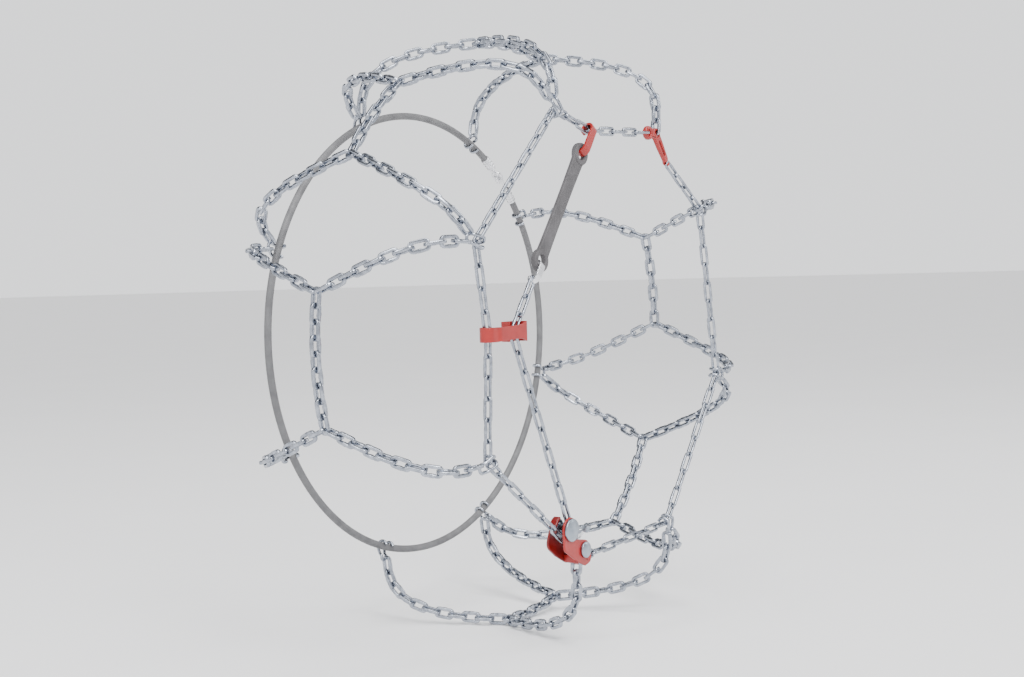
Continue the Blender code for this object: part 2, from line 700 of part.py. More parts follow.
def closing_hook():
    """The red closing hook: a lobe for the chain's end, a cross chain's eye, and a hook for the last link.

    Its origin is at the lobe's hole, which it swings round.
    """
    thickness = 0.004
    hole = circle((0, 0), CLOSING_HOLE, 14)
    across = Vector((CLOSING_EYE[0] - CLOSING_LOBE[0], CLOSING_EYE[1] - CLOSING_LOBE[1]))
    down = Vector((CLOSING_TIP[0] - CLOSING_EYE[0], CLOSING_TIP[1] - CLOSING_EYE[1]))
    reach = down.length
    turn = np.arctan2(down.y, down.x)
    lobe = [dogbone(across.length, 0.0072, 0.0060, 0.0052), hole]
    lobe_turn = np.arctan2(across.y, across.x)
    hook = plate("closing_hook", lobe, FACE_HEIGHT, thickness, "red_front", CLOSING_LOBE, lobe_turn)
    hook = to_mesh(hook)
    outline = [dogbone(reach, 0.0075, 0.0072, 0.0048)]
    shank = plate("closing_shank", outline, FACE_HEIGHT, thickness - GAP, None, CLOSING_EYE, turn, CUTTERS)
    eye = plate("closing_eye", [hole], FACE_HEIGHT, 2 * thickness, None, CLOSING_EYE, 0, CUTTERS)
    mouth = hull([(reach, 0, 0.0031), (reach - 0.002, 0.012, 0.0031)])
    gate = plate("closing_mouth", [mouth], FACE_HEIGHT, 2 * thickness, None, CLOSING_EYE, turn, CUTTERS)
    boolean(hook, to_mesh(shank), "UNION")
    boolean(hook, to_mesh(eye), "DIFFERENCE")
    boolean(hook, to_mesh(gate), "DIFFERENCE")


# ---------------------------------------------------------------- build

net()
side_chain(side_chain_path())
hoop_cable()
hoop_fittings()
strap_hook()
rubber_strap()
tension_hook()
tension_chain()
guide_clip()
back_plate()
front_plate()
chain_wheel()
rivet("wheel_rivet", WHEEL_AXIS, 0.0120, 0.0046)
rivet("pawl_rivet", PAWL_AXIS, 0.0085, 0.0042)
locking_pawl()
pawl_spring()
anchor_pin()
closing_hook()
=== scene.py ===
"""Snow chain for a car wheel: every run of chain as real interlocked links, with its wire hooks, inner
cable, rubber strap, guide clip, closing hook and ratchet tensioner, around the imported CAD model.

The wheel's axle is Y, the outer wheel face looks along -Y, and +Z is up. A height is a distance outwards
from the tread's middle plane. Angles on the wheel face run from +X towards +Z.
"""

from math import cos, pi, radians, sin

import bmesh
import bpy
import numpy as np
from mathutils import Matrix, Vector
from mathutils.geometry import convex_hull_2d


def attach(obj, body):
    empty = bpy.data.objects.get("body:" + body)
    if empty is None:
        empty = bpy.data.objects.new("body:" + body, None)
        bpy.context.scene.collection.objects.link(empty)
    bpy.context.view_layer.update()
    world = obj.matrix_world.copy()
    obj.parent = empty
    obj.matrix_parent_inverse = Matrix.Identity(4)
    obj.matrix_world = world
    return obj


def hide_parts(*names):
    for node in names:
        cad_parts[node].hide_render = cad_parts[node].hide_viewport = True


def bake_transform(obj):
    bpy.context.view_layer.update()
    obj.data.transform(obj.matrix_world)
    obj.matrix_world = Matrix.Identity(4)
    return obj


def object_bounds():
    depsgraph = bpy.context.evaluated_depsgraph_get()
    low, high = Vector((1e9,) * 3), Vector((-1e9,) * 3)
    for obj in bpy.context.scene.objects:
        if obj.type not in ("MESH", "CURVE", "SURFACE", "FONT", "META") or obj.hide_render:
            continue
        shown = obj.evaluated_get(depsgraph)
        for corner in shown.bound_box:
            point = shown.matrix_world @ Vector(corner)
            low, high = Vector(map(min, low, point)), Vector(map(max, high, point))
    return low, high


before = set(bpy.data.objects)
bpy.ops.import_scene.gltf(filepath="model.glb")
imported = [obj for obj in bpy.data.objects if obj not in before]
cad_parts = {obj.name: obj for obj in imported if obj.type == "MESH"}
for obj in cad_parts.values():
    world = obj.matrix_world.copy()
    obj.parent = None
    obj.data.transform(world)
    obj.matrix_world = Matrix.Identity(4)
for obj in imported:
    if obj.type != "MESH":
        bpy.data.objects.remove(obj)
CAD_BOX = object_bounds()

# The tyre that the net lies on, as in part.py
TREAD_RADIUS = 0.316
TYRE_HALF_WIDTH = 0.123
WIDEST_RADIUS = 0.262
SHOULDER_POWER = 3.1
CHAIN_LIFT = 0.0063
JUNCTION_RADIUS = 0.2515
FACE_HEIGHT = 0.130
JUNCTION_DEG = {
    "a": 157.1,
    "b": 207.8,
    "c": 253.5,
    "d": 297.6,
    "e": 346.0,
    "f": 392.4,
    "g": 422.3,
    "h": 470.8,
}
MODULES = ("ab", "cd", "de", "ef", "gh", "ha")
NODE_STEP_DEG = 12.9

# Chain links: pitch, outside width, rod thickness, how square the rod is, and the corners' share of the
# half width
TREAD_LINK = {"pitch": 0.0157, "width": 0.0128, "rod": 0.0036, "power": 4.5, "corner": 0.72}
SIDE_LINK = {"pitch": 0.022, "width": 0.0102, "rod": 0.003, "power": 2.6, "corner": 0.8}
UPRIGHT = 90
TREAD_TILT = 8

# Places on the wheel face, (x, z), as in part.py
STRAP_HOOK_AT = (-0.0245, 0.2153)
TENSION_BEND = (-0.1745, 0.0071)
GUIDE_CLIP_AT = (-0.2160, 0.0072)
STRAP_EYES = (0.0315, 0.1685)
STRAP_EYE_RADIUS = 0.012
STRAP_HALF_WIDTH = 0.0085
STRAP_HOLE = 0.0062
STRAP_THICKNESS = 0.0055
EYE_TO_CURL = 0.0078
WHEEL_AXIS = (-0.0916, -0.2014)
PAWL_AXIS = (-0.0662, -0.2256)
ANCHOR_AXIS = (-0.0600, -0.2350)
WHEEL_PITCH_RADIUS = 0.010
CLOSING_EYE = (0.1145, 0.2185)
CLOSING_LOBE = (0.0985, 0.2190)
CLOSING_TIP = (0.1385, 0.1863)
CLOSING_HOLE = 0.0036
CABLE_GAP_DEG = 407.0
CABLE_HALF_GAP = 4.5
BACK_PLATE_HEIGHT = 0.11955
FRONT_PLATE_HEIGHT = 0.1366
PLATE = 0.0025
GAP = 0.0003
RIVET_SHAFT = 0.0026
RIVET_HOLE = RIVET_SHAFT + GAP
HIDDEN_CHAIN = 0.021
OUT = Vector((0, -1, 0))

# The tensioner's outlines, as in part.py: discs are (x, z, radius), corners are (x, z)
BACK_DISCS = [(*WHEEL_AXIS, 0.0115), (-0.1005, -0.2150, 0.0085), (-0.0905, -0.2235, 0.0075)]
BACK_DISCS += [(*PAWL_AXIS, 0.0100), (*ANCHOR_AXIS, 0.0062), (-0.0745, -0.2345, 0.0050)]
FRONT_UPPER = [(*WHEEL_AXIS, 0.0130), (-0.0975, -0.2185, 0.0060)]
FRONT_LOWER = [(-0.0975, -0.2185, 0.0060), (-0.0800, -0.2190, 0.0060), (*PAWL_AXIS, 0.0105)]
FRONT_LOWER += [(*ANCHOR_AXIS, 0.0062), (-0.0790, -0.2350, 0.0018), (-0.0650, -0.2410, 0.0018)]
FRONT_MIDDLE = (-0.0960, -0.2170)
FOOT_CORNERS = [(-0.0805, -0.2300), (-0.0655, -0.2340), (-0.0650, -0.2425), (-0.0808, -0.2375)]
FOOT_TOP = FRONT_PLATE_HEIGHT - PLATE / 2 - GAP
FOOT_SLIT = [(-0.0738, -0.2280), (-0.0690, -0.2280), (-0.0690, -0.2460), (-0.0738, -0.2460)]
FOOT_PIN = ((-0.0760, -0.2368), (-0.0665, -0.2368))


# ---------------------------------------------------------------- materials


def shader_of(name, metallic, roughness, coat=0.0):
    """A new node material with its Principled shader set up."""
    made = bpy.data.materials.new(name)
    made.use_nodes = True
    tree = made.node_tree
    shader = tree.nodes["Principled BSDF"]
    shader.inputs["Metallic"].default_value = metallic
    shader.inputs["Roughness"].default_value = roughness
    shader.inputs["Coat Weight"].default_value = coat
    shader.inputs["Coat Roughness"].default_value = 0.12
    return made, tree, shader


def noise(tree, scale, detail=4.0):
    """Solid noise in the object's own coordinates."""
    place = tree.nodes.new("ShaderNodeTexCoord")
    node = tree.nodes.new("ShaderNodeTexNoise")
    node.inputs["Scale"].default_value = scale
    node.inputs["Detail"].default_value = detail
    node.inputs["Roughness"].default_value = 0.55
    tree.links.new(place.outputs["Object"], node.inputs["Vector"])
    return node.outputs["Fac"]


def ramp(tree, source, stops):
    """A colour ramp over a noise value; each stop is (position, colour)."""
    node = tree.nodes.new("ShaderNodeValToRGB")
    while len(node.color_ramp.elements) < len(stops):
        node.color_ramp.elements.new(0.5)
    for element, (position, colour) in zip(node.color_ramp.elements, stops):
        element.position = position
        element.color = (*colour, 1)
    tree.links.new(source, node.inputs["Fac"])
    return node.outputs["Color"]


def spread(tree, source, low, high):
    """A noise value mapped to a range."""
    node = tree.nodes.new("ShaderNodeMapRange")
    node.inputs["From Min"].default_value = 0.3
    node.inputs["From Max"].default_value = 0.7
    node.inputs["To Min"].default_value = low
    node.inputs["To Max"].default_value = high
    tree.links.new(source, node.inputs["Value"])
    return node.outputs["Result"]


def bump(tree, shader, source, strength, depth):
    """A bump from a noise value."""
    node = tree.nodes.new("ShaderNodeBump")
    node.inputs["Strength"].default_value = strength
    node.inputs["Distance"].default_value = depth
    tree.links.new(source, node.inputs["Height"])
    tree.links.new(node.outputs["Normal"], shader.inputs["Normal"])


def metal(name, dark, light, rough):
    """Plated steel: cloudy colour, uneven gloss and a fine grain."""
    made, tree, shader = shader_of(name, 1.0, rough[0])
    tree.links.new(ramp(tree, noise(tree, 140), ((0.3, dark), (0.7, light))), shader.inputs["Base Color"])
    tree.links.new(spread(tree, noise(tree, 300), *rough), shader.inputs["Roughness"])
    bump(tree, shader, noise(tree, 600), 0.12, 0.00005)
    return made


def enamel(name, dark, light, rough):
    """Painted steel: a cloudy colour under a thin clear coat, with a slight orange-peel surface."""
    made, tree, shader = shader_of(name, 0.0, rough[0], coat=0.25)
    tree.links.new(ramp(tree, noise(tree, 90), ((0.25, dark), (0.75, light))), shader.inputs["Base Color"])
    tree.links.new(spread(tree, noise(tree, 260), *rough), shader.inputs["Roughness"])
    bump(tree, shader, noise(tree, 650, 3.0), 0.18, 0.0001)
    return made


def rubber(name, dark, light):
    """Moulded rubber: matt and cloudy, with a fine pebbled surface."""
    made, tree, shader = shader_of(name, 0.0, 0.6)
    tree.links.new(ramp(tree, noise(tree, 70), ((0.3, dark), (0.75, light))), shader.inputs["Base Color"])
    tree.links.new(spread(tree, noise(tree, 300), 0.5, 0.72), shader.inputs["Roughness"])
    bump(tree, shader, noise(tree, 1400, 5.0), 0.35, 0.0002)
    return made


MATERIALS = {
    "zinc_steel": metal("zinc_steel", (0.24, 0.26, 0.30), (0.44, 0.47, 0.53), (0.20, 0.32)),
    "bright_steel": metal("bright_steel", (0.70, 0.71, 0.73), (0.86, 0.86, 0.88), (0.16, 0.24)),
    "grey_rivet": metal("grey_rivet", (0.27, 0.31, 0.36), (0.38, 0.42, 0.47), (0.30, 0.40)),
    "red_front": enamel("red_front", (0.26, 0.004, 0.003), (0.36, 0.009, 0.006), (0.36, 0.48)),
    # red_back is the red_front enamel darkened to about half: painted shade for the back plate and the wall,
    # which sit behind the front plate
    "red_back": enamel("red_back", (0.13, 0.002, 0.002), (0.20, 0.004, 0.003), (0.28, 0.40)),
    "strap_rubber": rubber("strap_rubber", (0.060, 0.057, 0.060), (0.100, 0.095, 0.100)),
    "cable_sleeve": rubber("cable_sleeve", (0.10, 0.10, 0.105), (0.16, 0.16, 0.165)),
}


# ---------------------------------------------------------------- pieces


def finish_piece(obj, slot, body, replaced=()):
    """Give a piece its material, its slot and its body, and hide the CAD nodes that it stands for.

    A flexible piece is given two bodies and the points between them, but only has its transform baked: it is
    attached to neither body.
    """
    obj.data.materials.append(MATERIALS[slot])
    bpy.context.view_layer.update()
    if isinstance(body, tuple):
        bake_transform(obj)
    else:
        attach(obj, body)
    if replaced:
        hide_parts(*replaced)
    return obj


def linked(name, data):
    obj = bpy.data.objects.new(name, data)
    bpy.context.scene.collection.objects.link(obj)
    return obj


def mesh_object(name, vertices, faces, sharp_deg=None):
    """A smooth-shaded mesh object."""
    mesh = bpy.data.meshes.new(name)
    mesh.from_pydata([tuple(v) for v in vertices], [], faces)
    mesh.validate()
    mesh.shade_smooth()
    if sharp_deg:
        mesh.set_sharp_from_angle(angle=radians(sharp_deg))
    return linked(name, mesh)


def smooth_path(points, steps):
    """A Catmull-Rom curve through the points."""
    points = [np.array(p, float) for p in points]
    points = [2 * points[0] - points[1], *points, 2 * points[-1] - points[-2]]
    out = []
    for a, b, c, d in zip(points, points[1:], points[2:], points[3:]):
        for t in np.arange(steps) / steps:
            square = t * t
            out.append(0.5 * (2 * b + (c - a) * t + (2 * a - 5 * b + 4 * c - d) * square
                              + (3 * b - a - 3 * c + d) * square * t))
    out.append(points[-2])
    return out


def wire(name, points, radius, slot, body, replaced=(), smooth=6):
    """A round wire along a smooth path, or along straight stretches where smooth is 0."""
    curve = bpy.data.curves.new(name, "CURVE")
    curve.dimensions = "3D"
    curve.bevel_depth = radius
    curve.bevel_resolution = 6
    curve.use_fill_caps = True
    path = smooth_path(points, smooth) if smooth else points
    spline = curve.splines.new("POLY")
    spline.points.add(len(path) - 1)
    for point, place in zip(spline.points, path):
        point.co = (*place, 1)
    spline.use_smooth = True
    return finish_piece(to_mesh(linked(name, curve)), slot, body, replaced)


def to_mesh(obj):
    """Turn a curve object into a mesh object."""
    graph = bpy.context.evaluated_depsgraph_get()
    graph.update()
    name = obj.name
    mesh = bpy.data.meshes.new_from_object(obj.evaluated_get(graph))
    place = obj.matrix_world.copy()
    bpy.data.objects.remove(obj)
    made = linked(name, mesh)
    mesh.name = name
    made.matrix_world = place
    return made


def arc(centre, radius, start_deg, end_deg, count):
    """Points along an arc, both ends included."""
    steps = [radians(start_deg + (end_deg - start_deg) * k / count) for k in range(count + 1)]
    return [(centre[0] + radius * cos(t), centre[1] + radius * sin(t)) for t in steps]


def circle(centre, radius, count=48):
    return arc(centre, radius, 0, 360 - 360 / count, count - 1)


def hull(discs):
    """The outline that a string drawn tight round some discs, each (x, z, radius), would take."""
    corners = [point for x, z, radius in discs for point in circle((x, z), radius)]
    return [corners[index] for index in convex_hull_2d([Vector(c) for c in corners])]


def joined(centre, hulls, count=180):
    """The outline of overlapping convex outlines that all hold the centre."""
    slack = 0.001
    parallel = 1e-12
    outline = []
    for step in range(count):
        turn = 2 * pi * step / count
        ahead = Vector((cos(turn), sin(turn)))
        reach = 0
        for corners in hulls:
            for one, two in zip(corners, corners[1:] + corners[:1]):
                one, two = Vector(one) - Vector(centre), Vector(two) - Vector(centre)
                along = two - one
                slant = ahead.x * along.y - ahead.y * along.x
                if abs(slant) < parallel:
                    continue
                distance = (one.x * along.y - one.y * along.x) / slant
                share = (one.x * ahead.y - one.y * ahead.x) / slant
                if distance > reach and -slack <= share <= 1 + slack:
                    reach = distance
        outline.append((centre[0] + ahead.x * reach, centre[1] + ahead.y * reach))
    return outline


def plate(
    name, outlines, height, thickness, slot, body, replaced=(), place=(0, 0), turn=0, edge=0.0005
):
    """A plate on the wheel face with rounded edges: the first outline is its edge, the others are holes."""
    curve = bpy.data.curves.new(name, "CURVE")
    curve.dimensions = "2D"
    curve.fill_mode = "BOTH"
    curve.extrude = thickness / 2 - edge
    curve.bevel_depth = edge
    curve.bevel_resolution = 2
    curve.offset = -edge
    for outline in outlines:
        spline = curve.splines.new("POLY")
        spline.points.add(len(outline) - 1)
        for slot_point, point in zip(spline.points, outline):
            slot_point.co = (point[0], point[1], 0, 1)
        spline.use_cyclic_u = True
    obj = linked(name, curve)
    obj.location = face(place, height)
    obj.rotation_euler = (pi / 2, -turn, 0)
    bpy.context.view_layer.update()
    made = to_mesh(obj)
    made.data.shade_smooth()
    made.data.set_sharp_from_angle(angle=radians(50))
    return finish_piece(made, slot, body, replaced)


def turned(name, profile, place, slot, body, replaced=(), steps=56):
    """A turned piece on the wheel face: the profile is (radius, height), outer end first."""
    vertices = []
    faces = []
    for step in range(steps):
        turn = 2 * pi * step / steps
        for radius, height in profile:
            vertices.append((place[0] + radius * cos(turn), -height, place[1] + radius * sin(turn)))
    count = len(profile)
    for step in range(steps):
        here = step * count
        there = (step + 1) % steps * count
        for k in range(count - 1):
            faces.append((here + k, here + k + 1, there + k + 1, there + k))
    obj = mesh_object(name, vertices, faces)
    weld(obj)
    obj.data.set_sharp_from_angle(angle=radians(40))
    return finish_piece(obj, slot, body, replaced)


def weld(obj):
    """Merge the points on the axis, and turn the faces outwards."""
    work = bmesh.new()
    work.from_mesh(obj.data)
    bmesh.ops.remove_doubles(work, verts=work.verts, dist=0.00001)
    bmesh.ops.recalc_face_normals(work, faces=work.faces)
    work.to_mesh(obj.data)
    work.free()


def strip(name, path, widths, thickness, frame_of, slot, body, replaced=(), lift=None):
    """A bent strip with rounded edges.

    path runs in the plane (along, outward), widths are at its ends and between, and lift moves the strip's
    middle sideways.
    """
    origin, along, outward = frame_of
    third = along.cross(outward)
    path = [np.array(p, float) for p in path]
    steps = [np.linalg.norm(b - a) for a, b in zip(path, path[1:])]
    lengths = np.concatenate([[0], np.cumsum(steps)])
    share = lengths / lengths[-1]
    width = np.interp(share, np.linspace(0, 1, len(widths)), widths)
    shift = np.zeros(len(path))
    if lift:
        shift = np.interp(share, np.linspace(0, 1, len(lift)), lift)
    vertices = []
    for k, point in enumerate(path):
        before = path[max(k - 1, 0)]
        after = path[min(k + 1, len(path) - 1)]
        ahead = (after - before) / np.linalg.norm(after - before)
        across = np.array((-ahead[1], ahead[0]))
        one = path[k] - before if k else after - path[k]
        bend = abs(float(np.dot(one / np.linalg.norm(one), ahead)))
        half = thickness / 2 / max(bend, 0.75)
        for up, side in ((1, 1), (1, -1), (-1, -1), (-1, 1)):
            flat = point + across * half * up
            sideways = shift[k] + side * width[k] / 2
            vertices.append(origin + along * flat[0] + outward * flat[1] + third * sideways)
    faces = [(0, 1, 2, 3), tuple(4 * (len(path) - 1) + k for k in (3, 2, 1, 0))]
    for k in range(len(path) - 1):
        for j in range(4):
            a, b = 4 * k + j, 4 * k + (j + 1) % 4
            faces.append((a, a + 4, b + 4, b))
    obj = mesh_object(name, vertices, faces)
    weld(obj)
    obj.data.set_sharp_from_angle(angle=radians(35))
    round_off = obj.modifiers.new("edges", "BEVEL")
    round_off.width = 0.0004
    round_off.segments = 3
    round_off.limit_method = "ANGLE"
    round_off.angle_limit = radians(50)
    return finish_piece(obj, slot, body, replaced)


# ---------------------------------------------------------------- places


def polar(radius, degrees, height=FACE_HEIGHT):
    turn = radians(degrees)
    return Vector((radius * cos(turn), -height, radius * sin(turn)))


def face(place, height=FACE_HEIGHT):
    return Vector((place[0], -height, place[1]))


def junction(letter, side=-1):
    """Where a cross chain meets the side chain (side -1) or the hoop cable (side 1)."""
    return polar(JUNCTION_RADIUS, JUNCTION_DEG[letter], -side * FACE_HEIGHT)


def tangent(axis, start, radius, left):
    """The point on a circle round axis that a line from start touches, on its left or right hand."""
    ahead = Vector((axis[0] - start[0], axis[1] - start[1]))
    turn = np.arcsin(radius / ahead.length) * (1 if left else -1)
    reach = (ahead.length**2 - radius**2) ** 0.5
    heading = np.arctan2(ahead.y, ahead.x) + turn
    return start[0] + reach * cos(heading), start[1] + reach * sin(heading)


def section():
    """Half the tyre's cross-section, as the chain's middle follows it: arc length, y and radius."""
    turns = np.linspace(0, pi / 2, 240)
    y = (TYRE_HALF_WIDTH + CHAIN_LIFT) * np.sin(turns) ** (2 / SHOULDER_POWER)
    rise = TREAD_RADIUS + CHAIN_LIFT - WIDEST_RADIUS
    radius = WIDEST_RADIUS + rise * np.cos(turns) ** (2 / SHOULDER_POWER)
    y = np.append(y, (FACE_HEIGHT, FACE_HEIGHT))
    radius = np.append(radius, (JUNCTION_RADIUS, JUNCTION_RADIUS - 0.02))
    length = np.concatenate([[0], np.cumsum(np.hypot(np.diff(y), np.diff(radius)))])
    return length, y, radius


SECTION = section()
HALF_ROUND = float(SECTION[0][-2])


def on_tyre(length, degrees, side):
    """The chain's middle at an arc length from the tread's middle, at an angle round the wheel."""
    lengths, y, radius = SECTION
    height = -side * float(np.interp(length, lengths, y))
    return polar(float(np.interp(length, lengths, radius)), degrees, height)


def tyre_normal(length, degrees, side):
    """The direction away from the tyre at the same place."""
    step = 0.001
    one = on_tyre(max(length - step, 0), degrees, side)
    two = on_tyre(length + step, degrees, side)
    ahead = (two - one).normalized()
    round_wheel = Vector((-sin(radians(degrees)), 0, cos(radians(degrees))))
    normal = ahead.cross(round_wheel)
    middle = on_tyre(length, degrees, side) - polar(0.2, degrees, 0)
    return normal if normal.dot(middle) > 0 else -normal


# ---------------------------------------------------------------- chain links

SECTION_DEG = [quarter + step for quarter in (0, 90, 180, 270) for step in (0, 28, 45, 62)]
CORNER_STEPS = 5
WELD_SWELL = 0.14
LINK_SLACK = 0.0001


def link_points(pitch, width, rod, power, corner):
    """One link flat in its own X and Y, as rings of points along its rod, with its weld on one side."""
    half_width = (width - rod) / 2
    half_length = (pitch + rod - LINK_SLACK) / 2
    bend = corner * half_width
    stations = []
    for quarter, (x, y) in enumerate(((1, -1), (1, 1), (-1, 1), (-1, -1))):
        start = radians(90 * quarter - 90)
        for t in np.linspace(start, start + pi / 2, CORNER_STEPS):
            place = (x * (half_length - bend) + bend * cos(t), y * (half_width - bend) + bend * sin(t))
            stations.append((*place, cos(t), sin(t), 0.0))
    for x, swell in ((-0.34, 0.0), (-0.14, WELD_SWELL), (0.14, WELD_SWELL), (0.34, 0.0)):
        stations.append((x * half_length, -half_width, 0.0, -1.0, swell))
    rings = []
    for x, y, out_x, out_y, swell in stations:
        ring = []
        for degrees in SECTION_DEG:
            across, up = cos(radians(degrees)), sin(radians(degrees))
            radius = rod / 2 * (1 + swell) * (abs(across) ** power + abs(up) ** power) ** (-1 / power)
            ring.append((x + out_x * radius * across, y + out_y * radius * across, radius * up))
        rings.append(ring)
    return np.array(rings)


def chain(name, runs, link, slot, body, replaced=()):
    """Runs of interlocked links.

    A run is its joints, the normals and the twists: link k spans joints k and k + 1, and is turned about the
    run by twists[k] from lying flat under its normal.
    """
    vertices = []
    faces = []
    for joints, normals, twists in runs:
        for start, end, normal, twist in zip(joints, joints[1:], normals, twists):
            pitch = (end - start).length
            rings = link_points(pitch, link["width"], link["rod"], link["power"], link["corner"])
            ahead = (end - start).normalized()
            level = (normal - ahead * normal.dot(ahead)).normalized()
            side = level.cross(ahead)
            turn = radians(twist)
            flat = side * cos(turn) + level * sin(turn)
            matrix = np.array([ahead, flat, ahead.cross(flat)])
            base = len(vertices)
            vertices.extend(rings.reshape(-1, 3) @ matrix + np.array((start + end) / 2))
            count, sides = rings.shape[:2]
            for i in range(count):
                after = base + (i + 1) % count * sides
                for j in range(sides):
                    k = (j + 1) % sides
                    faces.append((base + i * sides + j, after + j, after + k, base + i * sides + k))
    obj = mesh_object(name, vertices, faces)
    weld(obj)
    return finish_piece(obj, slot, body, replaced)


def straight_chain(name, start, end, count, twist, link, slot, body, replaced=(), step=90):
    """A straight run of links on the wheel face; twist is the first link's."""
    joints = [start + (end - start) * k / count for k in range(count + 1)]
    twists = [twist + step * (k % 2) for k in range(count)]
    return chain(name, [(joints, [OUT] * count, twists)], link, slot, body, replaced)


# ---------------------------------------------------------------- the net

# A branch starts a little off the tread's middle, and stops short of the junction where a wire hook holds it.
# The outer branches to the tensioner's foot and the closing hook run on further: (extra length, links).
HOOK_REACH = 0.0133
BRANCH_LINKS = 11
LONG_BRANCH = {"c": (0.0056, 13), "g": (0.0030, 13)}
SWUNG_LINKS = 7
BRANCH_AT = 0.0028
BRANCH_INSET_DEG = 0.5


def cross_chain(index, letter, node_deg):
    """One cross chain over the tyre: two branches, each hooked in a side of the centre chain's last link.

    The last links of the branch in the closing hook's eye are a piece of their own, given the net and the
    closing lever as its two bodies but attached to neither.
    """
    junction_deg = JUNCTION_DEG[letter]
    step = 1 if node_deg > junction_deg else -1
    node_deg += step * BRANCH_INSET_DEG
    runs = []
    for side in (-1, 1):
        reach, count = HALF_ROUND - HOOK_REACH, BRANCH_LINKS
        if side < 0 and letter in LONG_BRANCH:
            extra, count = LONG_BRANCH[letter]
            reach = HALF_ROUND + extra
        distances = np.linspace(BRANCH_AT, reach, count + 1)
        degrees = [node_deg + (junction_deg - node_deg) * min(d / HALF_ROUND, 1) for d in distances]
        joints = [on_tyre(d, a, side) for d, a in zip(distances, degrees)]
        middles = (distances[1:] + distances[:-1]) / 2
        normals = [tyre_normal(d, a, side) for d, a in zip(middles, degrees)]
        twists = [(0 if k % 2 else UPRIGHT) - TREAD_TILT * side * step for k in range(count)]
        if side < 0 and letter == "g":
            cut = count - SWUNG_LINKS
            swung = [(joints[cut:], normals[cut:], twists[cut:])]
            bodies = ("net", "closing_lever", joints[cut], joints[-2])
            chain(f"cross_chain_{index:02d}_end", swung, TREAD_LINK, "zinc_steel", bodies)
            joints, normals, twists = joints[: cut + 1], normals[:cut], twists[:cut]
        runs.append((joints, normals, twists))
    name = f"cross_chain_{index:02d}"
    chain(f"{name}_links", runs, TREAD_LINK, "zinc_steel", "net", [name])


def centre_chain(index, start_deg, end_deg):
    """The run along the tread's middle, whose end links lie flat and hold the cross chains' branches."""
    span = radians(end_deg - start_deg) * (TREAD_RADIUS + CHAIN_LIFT)
    count = 2 * round((span / TREAD_LINK["pitch"] - 1) / 2) + 1
    angles = np.linspace(start_deg, end_deg, count + 1)
    joints = [on_tyre(0, a, 1) for a in angles]
    normals = [polar(1, (a + b) / 2, 0) for a, b in zip(angles, angles[1:])]
    twists = [(UPRIGHT if k % 2 else 0) + TREAD_TILT for k in range(count)]
    name = f"centre_chain_{index}"
    chain(f"{name}_links", [(joints, normals, twists)], TREAD_LINK, "zinc_steel", "net", [name])


def net():
    """Six modules, each of a centre chain and the two cross chains at its ends."""
    for index, (first, last) in enumerate(MODULES):
        start = JUNCTION_DEG[first]
        end = JUNCTION_DEG[last]
        end += 360 if end < start else 0
        centre_chain(index + 1, start + NODE_STEP_DEG, end - NODE_STEP_DEG)
        cross_chain(2 * index + 1, first, start + NODE_STEP_DEG)
        cross_chain(2 * index + 2, last, JUNCTION_DEG[last] - NODE_STEP_DEG)


def junction_hook(name, centre, one, two, out, rod_radius):
    """A doubled wire hook: two prongs wrap the rod beside the junction, and a loop holds the links."""
    wire_radius = 0.0017
    wrap = rod_radius + wire_radius + GAP
    prong_at = 0.006
    loop_at = 0.0105
    loop_radius = 0.0046
    radial = Vector((centre.x, 0, centre.z)).normalized()
    across = out.cross(radial)
    prongs = []
    for along, hand in ((one, 1), (two, -1)):
        up = out.cross(along).normalized()
        up = up if up.dot(radial) > 0 else -up
        middle = centre + along * prong_at
        bend = [radians(d) for d in (250, 235, 205, 175, 145, 115, 85)]
        prong = [middle + up * wrap * cos(t) + out * wrap * sin(t) for t in bend]
        hand *= 1 if across.dot(one) > 0 else -1
        prong.append(centre + radial * 0.0075 + across * hand * loop_radius + out * 0.0034)
        prongs.append((prong, hand))
    loop = [
        centre + radial * (loop_at + loop_radius * sin(t)) + across * prongs[0][1] * loop_radius * cos(t)
        for t in (0, pi / 4, pi / 2, 3 * pi / 4, pi)
    ]
    path = prongs[0][0] + loop + prongs[1][0][::-1]
    wire(f"{name}_wire", path, wire_radius, "zinc_steel", "net", [name])


# ---------------------------------------------------------------- the side chain


